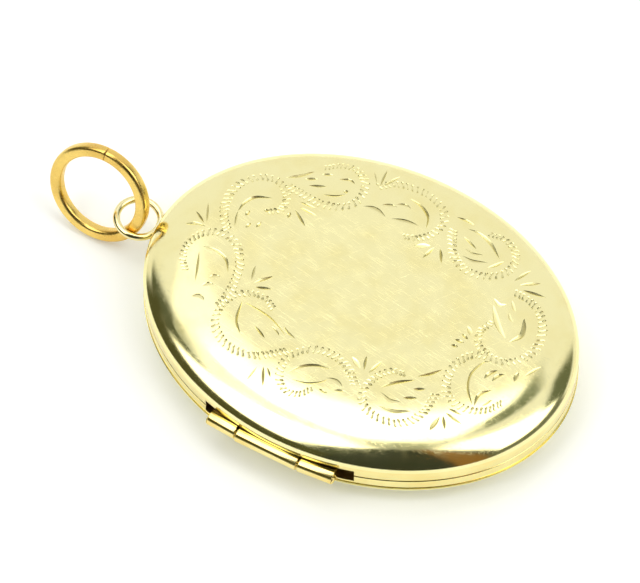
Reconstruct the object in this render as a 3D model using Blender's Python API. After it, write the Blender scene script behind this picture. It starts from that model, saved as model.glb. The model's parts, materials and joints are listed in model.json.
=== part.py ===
"""An oval hinged locket that lies on its back, with its bail ring.

Two domed shells are soldered to two oval bands and close like a shell. The
back half carries the snap lip, the outer hinge knuckles, the pin and the
eyelet; the front half carries the middle knuckle and the thumb lip. Each half
holds a picture under a clear window in an oval frame.

Frame: the origin is the centre of the flat at the middle of the back, +Z runs
through the locket to its front face, +Y points to the eyelet, and the hinge is
on the -X side. Sizes are in millimetres and are scaled to metres by MM.
"""

import math

import bmesh
import bpy
from mathutils import Matrix, Vector

MM = 0.001

# The oval case.
HALF_WIDTH = 12.7
HALF_HEIGHT = 16.5
SHOULDER = 6.0
SHOULDER_POWER = 2.6
DOME_HEIGHT = 1.60
SHEET = 0.40
BACK_RIM_HEIGHT = 0.92
FRONT_RIM_HEIGHT = 1.10
RIM_SETBACK = 0.06
RIM_THICKNESS = 0.70
RIM_CHAMFER = 0.10
JOINT_GAP = 0.03

BACK_RIM_BOTTOM = DOME_HEIGHT
PARTING = BACK_RIM_BOTTOM + BACK_RIM_HEIGHT
FRONT_RIM_TOP = PARTING + FRONT_RIM_HEIGHT

# The snap lip stands inside the back band and enters the front one, and its pip
# clicks into a dimple in the front band, straight across from the hinge.
LIP_OUTSIDE = RIM_SETBACK + RIM_THICKNESS + 0.05
LIP_THICKNESS = 0.35
LIP_RISE = 0.50
LIP_FOOT = 0.35
PIP_RADIUS = 0.25
PIP_PROUD = 0.11
DIMPLE_RADIUS = 0.28

# The picture, its window and its frame, in both halves.
PICTURE_EDGE = 2.30
FRAME_HEIGHT = 0.36
WINDOW_THICKNESS = 0.15
CARD_THICKNESS = 0.20
BACK_FRAME_DEPTH = 0.15
FRONT_FRAME_DEPTH = 0.54

# The hinge. The bores lie on one straight line; the outer tubes drift inwards
# from it, end by end, to follow the oval's edge.
HINGE_X = -HALF_WIDTH - 0.04
KNUCKLE_RADIUS = 0.575
PIN_RADIUS = 0.20
PIN_CLEARANCE = 0.03
PIN_HEAD_RADIUS = 0.30
PIN_HEAD_HEIGHT = 0.12
NOTCH_HALF_HEIGHT = 0.62
NOTCH_INSETS = (-1.2, 0.60)
NOTCH_ENDS = (-6.2, 6.0)
UPPER_KNUCKLE = (2.89, 5.18)
UPPER_DRIFT = (0.12, 0.26)
MIDDLE_KNUCKLE = (-2.20, 2.75)
MIDDLE_DRIFT = (0.0, 0.0)
LOWER_KNUCKLE = (-5.02, -2.35)
LOWER_DRIFT = (0.26, 0.0)
LEAF_INSETS = (-0.20, 0.57)
LEAF_HEIGHTS = (0.05, 0.50)
LEAF_END = 0.10

# The thumb lip.
THUMB_LIP_REACH = 0.38
THUMB_LIP_HALF_LENGTH = 1.5
THUMB_LIP_HEIGHTS = (0.06, 0.36)
THUMB_LIP_CORNER = 0.3

# The eyelet and the bail ring.
EYELET_CENTRE = Vector((-0.24, 18.38, 2.45))
EYELET_RADIUS = 1.60
EYELET_WIRE = 0.28
EYELET_TIP = math.radians(6.5)
SOLDER_SPAN = (-1.0, 0.6)
SOLDER_DEPTH = 0.35
SOLDER_BELOW_WIRE = 0.2
RING_OUTSIDE = 4.00
RING_INSIDE = 3.08
RING_WIDTH = 0.92
RING_CORNER = 0.25
RING_LEAN = math.radians(19.0)
RING_ABOVE_TABLE = 0.01
THREAD_POINT = Vector((-1.00, 18.26, 2.44))

OVAL_STEPS = 72
KNUCKLE_STEPS = 28
BORE_STEPS = 20
WIRE_STEPS = 12
SLICE_STEPS = 8

MATERIALS = {}


def clear_scene():
    for item in list(bpy.data.objects):
        bpy.data.objects.remove(item, do_unlink=True)


def make_material(name, colour, metallic, roughness, alpha=1.0):
    material = bpy.data.materials.new(name)
    material.use_nodes = True
    shader = material.node_tree.nodes["Principled BSDF"]
    shader.inputs["Base Color"].default_value = (*colour, 1.0)
    shader.inputs["Metallic"].default_value = metallic
    shader.inputs["Roughness"].default_value = roughness
    shader.inputs["Alpha"].default_value = alpha
    return material


def finish(bm, name, material, sharp=35.0):
    """Turn a bmesh in millimetres into a smooth-shaded object in metres."""
    bmesh.ops.recalc_face_normals(bm, faces=bm.faces)
    bmesh.ops.scale(bm, vec=(MM, MM, MM), verts=bm.verts)
    mesh = bpy.data.meshes.new(name)
    bm.to_mesh(mesh)
    bm.free()
    mesh.shade_smooth()
    mesh.set_sharp_from_angle(angle=math.radians(sharp))
    mesh.materials.append(material)
    part = bpy.data.objects.new(name, mesh)
    bpy.context.scene.collection.objects.link(part)
    return part


def move_origin(part, point):
    """Put an object's origin at a point in millimetres and leave its shape in place."""
    place = Vector(point) * MM
    part.data.transform(Matrix.Translation(-place))
    part.location = place
    return part


def oval_point(turn, inset, z):
    """A point at a height, square in from the case's edge by an inset."""
    edge = Vector((HALF_WIDTH * math.cos(turn), HALF_HEIGHT * math.sin(turn), z))
    outward = Vector((math.cos(turn) / HALF_WIDTH, math.sin(turn) / HALF_HEIGHT, 0.0))
    return edge - outward.normalized() * inset


def oval_loop(bm, inset, z):
    """Add a loop of corners that runs parallel to the case's edge, inset from it."""
    turns = [2.0 * math.pi * step / OVAL_STEPS for step in range(OVAL_STEPS)]
    return [bm.verts.new(oval_point(turn, inset, z)) for turn in turns]


def loft(profile, closed):
    """Skin oval loops along a profile of (inset, z) points, joined up or capped."""
    bm = bmesh.new()
    loops = [oval_loop(bm, inset, z) for inset, z in profile]
    pairs = list(zip(loops, loops[1:]))
    if closed:
        pairs.append((loops[-1], loops[0]))
    for first, second in pairs:
        for i in range(OVAL_STEPS):
            bm.faces.new((first[i - 1], first[i], second[i], second[i - 1]))
    if not closed:
        for end in (loops[0], loops[-1]):
            bmesh.ops.contextual_create(bm, geom=end)
    return bm


def shoulder_curve(inset, height, reach):
    """Height of the dome above its foot at an inset from the dome's edge."""
    share = 1.0 - min(inset / reach, 1.0)
    return height * math.sqrt(1.0 - share ** SHOULDER_POWER)


def cover_profile(foot, side):
    """Section of a domed shell that starts at its foot; side is +1 for the front."""
    shares = (0.0, 0.012, 0.05, 0.12, 0.22, 0.36, 0.54, 0.76, 1.0)
    outer = [(SHOULDER * s, foot + side * shoulder_curve(SHOULDER * s, DOME_HEIGHT, SHOULDER))
             for s in shares]
    reach = SHOULDER - SHEET
    depth = DOME_HEIGHT - SHEET
    inner = [(SHEET + reach * s, foot + side * shoulder_curve(reach * s, depth, reach))
             for s in shares[::2]]
    return outer[::-1] + inner


def band_profile(outside, inside, low, high, chamfer=0.0):
    """Section of an oval band between two insets, with its outer corners taken off."""
    if not chamfer:
        return [(outside, low), (outside, high), (inside, high), (inside, low)]
    return [(outside + chamfer, low), (outside, low + chamfer), (outside, high - chamfer),
            (outside + chamfer, high), (inside, high), (inside, low)]


def band_slice(insets, ends, heights):
    """A length of band on the hinge's side, between two insets, ends and heights."""
    bm = bmesh.new()
    outside, inside = insets
    low, high = heights
    first, last = [math.pi - math.asin(end / HALF_HEIGHT) for end in ends]
    sections = []
    for step in range(SLICE_STEPS + 1):
        turn = first + (last - first) * step / SLICE_STEPS
        sections.append([bm.verts.new(oval_point(turn, inset, z)) for inset, z in
                         ((outside, low), (inside, low), (inside, high), (outside, high))])
    for here, after in zip(sections, sections[1:]):
        for i in range(len(here)):
            bm.faces.new((here[i - 1], here[i], after[i], after[i - 1]))
    bm.faces.new(sections[0])
    bm.faces.new(sections[-1])
    return bm


def box(bm, low, high):
    centre = [(a + b) / 2.0 for a, b in zip(low, high)]
    size = [b - a for a, b in zip(low, high)]
    place = Matrix.Translation(centre) @ Matrix.Diagonal((*size, 1.0))
    bmesh.ops.create_cube(bm, size=1.0, matrix=place)


def make_tool(bm, name):
    """A shape that only cuts or joins others, so it isn't a piece itself."""
    tool = finish(bm, name, MATERIALS["gold"])
    tool.hide_render = True
    tool.display_type = "WIRE"
    return tool


def add_boolean(part, tool, operation):
    modifier = part.modifiers.new(operation.title(), "BOOLEAN")
    modifier.operation = operation
    modifier.object = tool
    modifier.solver = "EXACT"


def cylinder_along_y(bm, radius, low, high, steps=BORE_STEPS):
    """A cylinder on the hinge's axis, from low to high along Y."""
    middle = Matrix.Translation((HINGE_X, (low + high) / 2.0, PARTING))
    turn = Matrix.Rotation(math.pi / 2.0, 4, "X")
    bmesh.ops.create_cone(bm, cap_ends=True, segments=steps, radius1=radius, radius2=radius,
                          depth=high - low, matrix=middle @ turn)


def make_cover(name, foot, side):
    """A domed shell of sheet: the outer skin, its foot and the inner skin."""
    return finish(loft(cover_profile(foot, side), closed=False), name, MATERIALS["gold"])


def pip_centre(radius):
    """Centre of a ball that stands proud of the lip's face by PIP_PROUD."""
    face = HALF_WIDTH - LIP_OUTSIDE
    return Matrix.Translation((face + PIP_PROUD - radius, 0.0, PARTING + LIP_RISE / 2.0))


def make_rims():
    """The two oval bands, notched together for the hinge, and the dimple for the pip."""
    heights = (PARTING - NOTCH_HALF_HEIGHT, PARTING + NOTCH_HALF_HEIGHT)
    notch = make_tool(band_slice(NOTCH_INSETS, NOTCH_ENDS, heights), "hinge_notch_cutter")
    bm = bmesh.new()
    bmesh.ops.create_icosphere(bm, subdivisions=2, radius=DIMPLE_RADIUS,
                               matrix=pip_centre(DIMPLE_RADIUS - JOINT_GAP))
    dimple = make_tool(bm, "pip_dimple_cutter")
    rims = {}
    for name, low, high in (("back_rim", BACK_RIM_BOTTOM, PARTING),
                            ("front_rim", PARTING, FRONT_RIM_TOP)):
        profile = band_profile(RIM_SETBACK, RIM_SETBACK + RIM_THICKNESS, low + JOINT_GAP / 2.0,
                               high - JOINT_GAP / 2.0, RIM_CHAMFER)
        rims[name] = finish(loft(profile, closed=True), name, MATERIALS["gold"])
        add_boolean(rims[name], notch, "DIFFERENCE")
    add_boolean(rims["front_rim"], dimple, "DIFFERENCE")
    return rims["front_rim"]


def make_snap_lip():
    """The raised inner band that the front half snaps over, and its pip."""
    profile = band_profile(LIP_OUTSIDE, LIP_OUTSIDE + LIP_THICKNESS,
                           BACK_RIM_BOTTOM + LIP_FOOT, PARTING + LIP_RISE)
    finish(loft(profile, closed=True), "snap_lip", MATERIALS["gold"])
    bm = bmesh.new()
    bmesh.ops.create_icosphere(bm, subdivisions=2, radius=PIP_RADIUS,
                               matrix=pip_centre(PIP_RADIUS))
    foot = Vector((HALF_WIDTH - LIP_OUTSIDE + JOINT_GAP / 2.0, 0.0, 0.0))
    everything = list(bm.verts) + list(bm.edges) + list(bm.faces)
    cut = bmesh.ops.bisect_plane(bm, geom=everything, plane_co=foot, plane_no=(1.0, 0.0, 0.0),
                                 clear_inner=True)
    rim = [item for item in cut["geom_cut"] if isinstance(item, bmesh.types.BMEdge)]
    bmesh.ops.contextual_create(bm, geom=rim)
    finish(bm, "snap_pip", MATERIALS["gold"])


def make_picture_set(prefix, outside, depth, side):
    """Frame, window and card, stacked away from the parting plane into one half."""
    level = PARTING + side * depth
    high = level + side * FRAME_HEIGHT
    pieces = [finish(loft(band_profile(outside, PICTURE_EDGE, level, high), closed=True),
                     prefix + "_frame", MATERIALS["gold"])]
    level = high
    for piece, thickness, look in (("_window", WINDOW_THICKNESS, "acetate"),
                                   ("_picture", CARD_THICKNESS, "card")):
        start = level + side * JOINT_GAP
        level = start + side * thickness
        plate = loft([(outside, start), (outside, level)], closed=False)
        pieces.append(finish(plate, prefix + piece, MATERIALS[look]))
    return pieces


def make_knuckle(name, ends, drift, side):
    """A rolled tube on the pin with a leaf that is soldered into one band's notch."""
    low, high = ends
    bm = bmesh.new()
    cylinder_along_y(bm, KNUCKLE_RADIUS, low, high, KNUCKLE_STEPS)
    for vert in bm.verts:
        vert.co.x += drift[0] if vert.co.y < (low + high) / 2.0 else drift[1]
    knuckle = finish(bm, name, MATERIALS["hinge_gold"])
    heights = sorted(PARTING + side * height for height in LEAF_HEIGHTS)
    leaf = band_slice(LEAF_INSETS, (low + LEAF_END, high - LEAF_END), heights)
    add_boolean(knuckle, make_tool(leaf, name + "_leaf_tool"), "UNION")
    bm = bmesh.new()
    cylinder_along_y(bm, PIN_RADIUS + PIN_CLEARANCE, low - 1.0, high + 1.0)
    add_boolean(knuckle, make_tool(bm, name + "_bore_cutter"), "DIFFERENCE")
    return knuckle


def make_pin():
    """The hinge's pin, with both ends peened over into low heads."""
    low = LOWER_KNUCKLE[0] - JOINT_GAP
    high = UPPER_KNUCKLE[1] + JOINT_GAP
    sections = ((PIN_HEAD_RADIUS, low - PIN_HEAD_HEIGHT), (PIN_HEAD_RADIUS, low),
                (PIN_RADIUS, low), (PIN_RADIUS, high),
                (PIN_HEAD_RADIUS, high), (PIN_HEAD_RADIUS, high + PIN_HEAD_HEIGHT))
    bm = bmesh.new()
    turns = [2.0 * math.pi * step / BORE_STEPS for step in range(BORE_STEPS)]
    loops = [[bm.verts.new((HINGE_X + radius * math.cos(turn), y,
                            PARTING + radius * math.sin(turn))) for turn in turns]
             for radius, y in sections]
    for first, second in zip(loops, loops[1:]):
        for i in range(BORE_STEPS):
            bm.faces.new((first[i - 1], first[i], second[i], second[i - 1]))
    bm.faces.new(loops[0])
    bm.faces.new(loops[-1])
    finish(bm, "hinge_pin", MATERIALS["hinge_gold"])


def make_thumb_lip():
    """A small ledge on the front band, opposite the hinge, to open the case by."""
    bm = bmesh.new()
    low, high = [PARTING + height for height in THUMB_LIP_HEIGHTS]
    box(bm, (HALF_WIDTH - RIM_SETBACK + JOINT_GAP, -THUMB_LIP_HALF_LENGTH, low),
        (HALF_WIDTH + THUMB_LIP_REACH, THUMB_LIP_HALF_LENGTH, high))
    corners = [edge for edge in bm.edges
               if all(vert.co.x > HALF_WIDTH for vert in edge.verts)
               and edge.verts[0].co.y == edge.verts[1].co.y]
    bmesh.ops.bevel(bm, geom=corners, offset=THUMB_LIP_CORNER, offset_type="OFFSET",
                    segments=4, profile=0.5, affect="EDGES", material=-1)
    return finish(bm, "thumb_lip", MATERIALS["gold"])


def wire_loop(radius):
    """A closed loop of round wire of the given wire radius, at the eyelet's place."""
    bm = bmesh.new()
    upright = Matrix.Rotation(math.pi / 2.0, 4, "X")
    made = bmesh.ops.create_circle(bm, cap_ends=False, segments=WIRE_STEPS, radius=radius,
                                   matrix=Matrix.Translation((EYELET_RADIUS, 0.0, 0.0)) @ upright)
    section = list(made["verts"]) + list({e for v in made["verts"] for e in v.link_edges})
    bmesh.ops.spin(bm, geom=section, cent=(0.0, 0.0, 0.0), axis=(0.0, 0.0, 1.0),
                   angle=2.0 * math.pi, steps=3 * WIRE_STEPS, use_merge=True)
    place = Matrix.Translation(EYELET_CENTRE) @ Matrix.Rotation(EYELET_TIP, 4, "X")
    bmesh.ops.transform(bm, matrix=place, verts=bm.verts)
    return bm


def make_eyelet():
    """The loop on top of the back band and the solder that holds it there."""
    finish(wire_loop(EYELET_WIRE), "eyelet", MATERIALS["pale_gold"])
    bm = bmesh.new()
    foot = HALF_HEIGHT - RIM_SETBACK + JOINT_GAP
    wire = EYELET_CENTRE.z - EYELET_RADIUS * math.sin(EYELET_TIP)
    box(bm, (SOLDER_SPAN[0], foot, wire - EYELET_WIRE - SOLDER_BELOW_WIRE),
        (SOLDER_SPAN[1], foot + SOLDER_DEPTH, PARTING - RIM_CHAMFER))
    seat = finish(bm, "eyelet_solder", MATERIALS["pale_gold"])
    add_boolean(seat, make_tool(wire_loop(EYELET_WIRE + JOINT_GAP), "eyelet_seat_cutter"),
                "DIFFERENCE")


def ring_centre():
    """Where the ring's centre lies when it leans on its edge and threads the eyelet."""
    radius = (RING_OUTSIDE + RING_INSIDE) / 2.0
    height = ((RING_OUTSIDE - RING_CORNER) * math.cos(RING_LEAN)
              + (RING_WIDTH / 2.0 - RING_CORNER) * math.sin(RING_LEAN) + RING_CORNER)
    z = height + RING_ABOVE_TABLE
    climb = z - THREAD_POINT.z
    along = math.sqrt(radius ** 2 - (climb / math.cos(RING_LEAN)) ** 2)
    return Vector((THREAD_POINT.x + math.tan(RING_LEAN) * climb, THREAD_POINT.y + along, z))


def make_bail_ring():
    """A ring of flattened wire, leaning as it stands on its edge, with soft corners."""
    bm = bmesh.new()
    low = Vector((RING_INSIDE, 0.0, -RING_WIDTH / 2.0))
    high = Vector((RING_OUTSIDE, 0.0, RING_WIDTH / 2.0))
    corners = [bm.verts.new(point) for point in
               (low, (high.x, 0.0, low.z), high, (low.x, 0.0, high.z))]
    bm.faces.new(corners)
    bmesh.ops.bevel(bm, geom=corners, offset=RING_CORNER, offset_type="OFFSET",
                    segments=2, profile=0.5, affect="VERTICES", material=-1)
    bmesh.ops.delete(bm, geom=list(bm.faces), context="FACES_ONLY")
    section = list(bm.verts) + list(bm.edges)
    bmesh.ops.spin(bm, geom=section, cent=(0.0, 0.0, 0.0), axis=(0.0, 0.0, 1.0),
                   angle=2.0 * math.pi, steps=48, use_merge=True)
    lean = Matrix.Rotation(RING_LEAN - math.pi / 2.0, 4, "Y")
    bmesh.ops.transform(bm, matrix=Matrix.Translation(ring_centre()) @ lean, verts=bm.verts)
    ring = finish(bm, "bail_ring", MATERIALS["ring_gold"])
    move_origin(ring, THREAD_POINT)


def main():
    clear_scene()
    MATERIALS.update(
        gold=make_material("gold", (0.90, 0.78, 0.42), 1.0, 0.18),
        hinge_gold=make_material("hinge_gold", (0.88, 0.70, 0.30), 1.0, 0.20),
        pale_gold=make_material("pale_gold", (0.88, 0.80, 0.52), 1.0, 0.22),
        ring_gold=make_material("ring_gold", (0.80, 0.55, 0.16), 1.0, 0.32),
        acetate=make_material("acetate", (0.95, 0.96, 0.97), 0.0, 0.05, 0.3),
        card=make_material("card", (0.90, 0.87, 0.80), 0.0, 0.85),
    )
    make_cover("back_cover", BACK_RIM_BOTTOM, -1)
    front_pieces = [make_cover("front_cover", FRONT_RIM_TOP, 1), make_rims(),
                    make_thumb_lip(),
                    make_knuckle("hinge_knuckle_middle", MIDDLE_KNUCKLE, MIDDLE_DRIFT, 1)]
    make_snap_lip()
    make_knuckle("hinge_knuckle_upper", UPPER_KNUCKLE, UPPER_DRIFT, -1)
    make_knuckle("hinge_knuckle_lower", LOWER_KNUCKLE, LOWER_DRIFT, -1)
    make_pin()
    lip_inside = LIP_OUTSIDE + LIP_THICKNESS
    make_picture_set("back", lip_inside + JOINT_GAP, BACK_FRAME_DEPTH, -1)
    front_pieces += make_picture_set("front", RIM_SETBACK + RIM_THICKNESS + JOINT_GAP,
                                     FRONT_FRAME_DEPTH, 1)
    for piece in front_pieces:
        move_origin(piece, (HINGE_X, 0.0, PARTING))
    make_eyelet()
    make_bail_ring()


main()
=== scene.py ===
# %% [markdown]
# # An engraved oval locket
# This lesson builds the visible surface of a small gold locket around a frame that is already made. The
# frame holds the sizes, the hinge line and the swing of the bail ring. Here each piece is modelled again
# with enough detail to be looked at closely, and each piece rides on the body that moves it.

# %% Load the frame
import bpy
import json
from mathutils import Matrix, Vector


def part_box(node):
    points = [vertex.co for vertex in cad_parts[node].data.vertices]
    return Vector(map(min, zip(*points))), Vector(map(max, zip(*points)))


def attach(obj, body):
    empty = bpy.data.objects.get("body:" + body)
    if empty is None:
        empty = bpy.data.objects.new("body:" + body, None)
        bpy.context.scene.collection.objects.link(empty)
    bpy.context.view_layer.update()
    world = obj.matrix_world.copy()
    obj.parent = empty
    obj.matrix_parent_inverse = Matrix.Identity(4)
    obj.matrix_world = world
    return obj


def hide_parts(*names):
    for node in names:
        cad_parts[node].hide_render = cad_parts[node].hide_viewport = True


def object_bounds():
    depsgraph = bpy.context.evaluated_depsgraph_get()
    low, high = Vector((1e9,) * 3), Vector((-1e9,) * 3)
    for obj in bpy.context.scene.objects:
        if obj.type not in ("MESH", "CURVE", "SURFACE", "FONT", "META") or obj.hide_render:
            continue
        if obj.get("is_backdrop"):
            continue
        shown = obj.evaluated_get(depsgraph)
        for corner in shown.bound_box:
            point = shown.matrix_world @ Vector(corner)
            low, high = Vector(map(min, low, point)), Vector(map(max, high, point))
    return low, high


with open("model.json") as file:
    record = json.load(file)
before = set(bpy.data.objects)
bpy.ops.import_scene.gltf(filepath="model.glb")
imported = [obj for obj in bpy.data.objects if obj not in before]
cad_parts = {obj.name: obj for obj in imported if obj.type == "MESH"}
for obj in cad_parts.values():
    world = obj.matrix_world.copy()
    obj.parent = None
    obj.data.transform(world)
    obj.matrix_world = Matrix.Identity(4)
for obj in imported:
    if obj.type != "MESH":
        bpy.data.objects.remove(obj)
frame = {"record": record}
frame_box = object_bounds()

# %% [markdown]
# Jewellers think in millimetres, and so does this file. Shapes are modelled in millimetres with bmesh and
# shrunk to metres at the very end, so a number like 0.4 is the gauge of the sheet that a goldsmith would
# name. The driving sizes are read from the frame, so the fine pieces can't drift away from the solids
# they stand for.

# %% Sizes from the frame
import json
import math
import random

import bmesh
import bpy
import numpy
from mathutils import Matrix, Vector, noise
from mathutils.geometry import delaunay_2d_cdt

MM = 0.001


def node_box(node):
    """Lowest and highest corner of a frame node, in millimetres."""
    low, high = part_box(node)
    return Vector(low) / MM, Vector(high) / MM


joints = {joint["name"]: joint for joint in frame["record"]["behaviour"]["joints"]}
hinge_axis = Vector(joints["case_hinge"]["pos_m"]) / MM
front_low, front_high = node_box("front_cover")
HALF_WIDTH = front_high.x
HALF_HEIGHT = front_high.y
FRONT_FOOT = front_low.z
TOP = front_high.z
BACK_FOOT = node_box("back_cover")[1].z
PARTING = hinge_axis.z
DOME = TOP - FRONT_FOOT
SHEET = 0.40
SHOULDER = 6.0
SHOULDER_POWER = 2.6
print(f"case {2 * HALF_WIDTH:.1f} x {2 * HALF_HEIGHT:.1f} x {TOP:.2f} mm, parting at {PARTING:.2f} mm")

# %% [markdown]
# The case is an oval with a domed face. Two questions come up again and again: how far is a point from
# the edge, and which way is inwards there? For an ellipse that needs the nearest point on the curve. A
# few Newton steps on the angle find it. The dome's height then depends on that distance alone, as on a
# pressed cover.

# %% The oval and its dome


def edge_frame(x, y):
    """Distance of a point inwards from the oval's edge, and the inward direction there."""
    turn = math.atan2(y / HALF_HEIGHT, x / HALF_WIDTH)
    spread = HALF_HEIGHT ** 2 - HALF_WIDTH ** 2
    for _ in range(6):
        sine, cosine = math.sin(turn), math.cos(turn)
        slope = spread * sine * cosine + x * HALF_WIDTH * sine - y * HALF_HEIGHT * cosine
        bend = spread * (cosine * cosine - sine * sine) + x * HALF_WIDTH * cosine + y * HALF_HEIGHT * sine
        turn -= slope / max(bend, 1.0)
    sine, cosine = math.sin(turn), math.cos(turn)
    inward = -Vector((cosine / HALF_WIDTH, sine / HALF_HEIGHT)).normalized()
    distance = (Vector((x, y)) - Vector((HALF_WIDTH * cosine, HALF_HEIGHT * sine))).dot(inward)
    return distance, inward


def dome_rise(inset, height=DOME, reach=SHOULDER):
    """Height of the dome above its foot, at a distance inwards from its edge."""
    share = 1.0 - min(max(inset / reach, 0.0), 1.0)
    return height * math.sqrt(max(1.0 - share ** SHOULDER_POWER, 0.0))


def dome_normal(x, y):
    """Direction that the polished dome faces, worked out from its slope."""
    inset, inward = edge_frame(x, y)
    step = 0.002
    near = max(inset, step)
    slope = (dome_rise(near + step) - dome_rise(near - step)) / (2.0 * step)
    return Vector((-slope * inward.x, -slope * inward.y, 1.0)).normalized()


print(f"dome {DOME:.2f} mm high, {dome_rise(1.0):.2f} mm at 1 mm from its edge")

# %% [markdown]
# Every oval band and shell in the locket is the same move: a section is carried round the oval. A circle
# operator gives the first loop, and each further loop is an extrusion of the last one that is then put in
# its place. The vertices remember their turn round the oval in a layer, and extrusion copies that layer.

# %% Carry a section round the oval
OVAL_STEPS = 240


def put_on_oval(vert, turn, inset, z):
    """Place a vertex at its turn round the oval, an inset from the edge, at a height."""
    edge = Vector((HALF_WIDTH * math.cos(turn), HALF_HEIGHT * math.sin(turn), 0.0))
    outward = Vector((math.cos(turn) / HALF_WIDTH, math.sin(turn) / HALF_HEIGHT, 0.0)).normalized()
    vert.co = edge - outward * inset
    vert.co.z = z


def next_loop(bm, edges):
    """Extrude a loop of edges and hand back the new edges and the new vertices."""
    made = bmesh.ops.extrude_edge_only(bm, edges=edges)["geom"]
    return ([item for item in made if isinstance(item, bmesh.types.BMEdge)],
            [item for item in made if isinstance(item, bmesh.types.BMVert)])


def sweep_oval(section, closed):
    """Carry a section of (inset, height) points round the oval; an open one is capped at both ends."""
    bm = bmesh.new()
    turns = bm.verts.layers.float.new("turn")
    ring = bmesh.ops.create_circle(bm, segments=OVAL_STEPS, radius=1.0)["verts"]
    for vert in ring:
        vert[turns] = math.atan2(vert.co.y, vert.co.x)
        put_on_oval(vert, vert[turns], *section[0])
    edges = list(bm.edges)
    if not closed:
        bmesh.ops.contextual_create(bm, geom=edges)
    for inset, z in section[1:] + (section[:1] if closed else []):
        edges, verts = next_loop(bm, edges)
        for vert in verts:
            put_on_oval(vert, vert[turns], inset, z)
    if closed:
        bmesh.ops.remove_doubles(bm, verts=bm.verts, dist=1e-4)
    else:
        bmesh.ops.contextual_create(bm, geom=edges)
    bmesh.ops.recalc_face_normals(bm, faces=bm.faces)
    return bm


def soften(bm, width, segments=3, angle=50.0):
    """Round every edge that is sharper than an angle."""
    bmesh.ops.recalc_face_normals(bm, faces=bm.faces)
    limit = math.radians(angle)
    sharp = [edge for edge in bm.edges if edge.is_manifold and edge.calc_face_angle(0.0) > limit]
    bmesh.ops.bevel(bm, geom=sharp, offset=width, offset_type="OFFSET", segments=segments, profile=0.5,
                    affect="EDGES", clamp_overlap=True, material=-1)


def box_mesh(low, high):
    """A box between two corners."""
    bm = bmesh.new()
    low, high = Vector(low), Vector(high)
    place = Matrix.Translation((low + high) / 2.0) @ Matrix.Diagonal((*(high - low), 1.0))
    bmesh.ops.create_cube(bm, size=1.0, matrix=place)
    return bm


print(f"one step round the oval is about {2 * math.pi * 14.6 / OVAL_STEPS:.2f} mm")

# %% [markdown]
# A finished piece is shrunk to metres, shaded smooth with its true corners kept sharp, given its material
# and tied to the frame: it rides on a body and hides the plain node it stands for.

# %% Finish a piece


def tie(piece, body, nodes):
    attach(piece, body)
    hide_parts(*nodes)
    size = piece.dimensions / MM
    print(f"{piece.name}: {len(piece.data.polygons)} faces, {size.x:.2f} x {size.y:.2f} x {size.z:.2f} mm")


def finish_piece(bm, name, material, body, nodes, corner=32.0):
    """Turn a bmesh in millimetres into a finished piece in metres."""
    bmesh.ops.scale(bm, vec=(MM, MM, MM), verts=bm.verts)
    mesh = bpy.data.meshes.new(name)
    bm.to_mesh(mesh)
    bm.free()
    mesh.shade_smooth()
    mesh.set_sharp_from_angle(angle=math.radians(corner))
    mesh.materials.append(material)
    piece = bpy.data.objects.new(name, mesh)
    bpy.context.scene.collection.objects.link(piece)
    tie(piece, body, nodes)
    return piece


# %% [markdown]
# ## Finishes
# Gold plate is one metal, but it never looks like one flat colour. Wear thins it, fingers dull it and
# years of rubbing leave hairline scratches. Each finish below is a metal shader with three layers of
# noise: a slow drift of colour, a change of roughness, and stretched noise that bends the surface as fine
# scratches do.

# %% Helpers for shader nodes


def add_node(tree, kind, **values):
    """Add a shader node and set its properties or the defaults of its inputs."""
    made = tree.nodes.new(kind)
    for name, value in values.items():
        if hasattr(made, name):
            setattr(made, name, value)
        else:
            made.inputs[name.replace("_", " ")].default_value = value
    return made


def new_material(name):
    material = bpy.data.materials.new(name)
    material.use_nodes = True
    tree = material.node_tree
    shader = tree.nodes["Principled BSDF"]
    place = add_node(tree, "ShaderNodeTexCoord")
    return material, tree, shader, place.outputs["Object"]


def stretched_noise(tree, place, scale, turn, detail=2.0):
    """Noise on object coordinates, squeezed to (x, y, z) repeats per millimetre and turned about Z."""
    mapping = add_node(tree, "ShaderNodeMapping")
    mapping.inputs["Rotation"].default_value = (0.0, 0.0, math.radians(turn))
    turned = add_node(tree, "ShaderNodeMapping")
    turned.inputs["Scale"].default_value = [repeats / MM for repeats in scale]
    tree.links.new(place, mapping.inputs["Vector"])
    tree.links.new(mapping.outputs["Vector"], turned.inputs["Vector"])
    made = add_node(tree, "ShaderNodeTexNoise", Scale=1.0, Detail=detail, Roughness=0.55)
    tree.links.new(turned.outputs["Vector"], made.inputs["Vector"])
    return made.outputs["Fac"]


def remap(tree, value, low, high, new_low, new_high):
    """Map one range of a value onto another, with soft ends."""
    made = add_node(tree, "ShaderNodeMapRange", interpolation_type="SMOOTHSTEP")
    for socket, number in zip(("From Min", "From Max", "To Min", "To Max"), (low, high, new_low, new_high)):
        made.inputs[socket].default_value = number
    tree.links.new(value, made.inputs["Value"])
    return made.outputs["Result"]


def blend_sum(tree, first, second, operation="ADD"):
    made = add_node(tree, "ShaderNodeMath", operation=operation)
    tree.links.new(first, made.inputs[0])
    if isinstance(second, float):
        made.inputs[1].default_value = second
    else:
        tree.links.new(second, made.inputs[1])
    return made.outputs["Value"]


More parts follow.
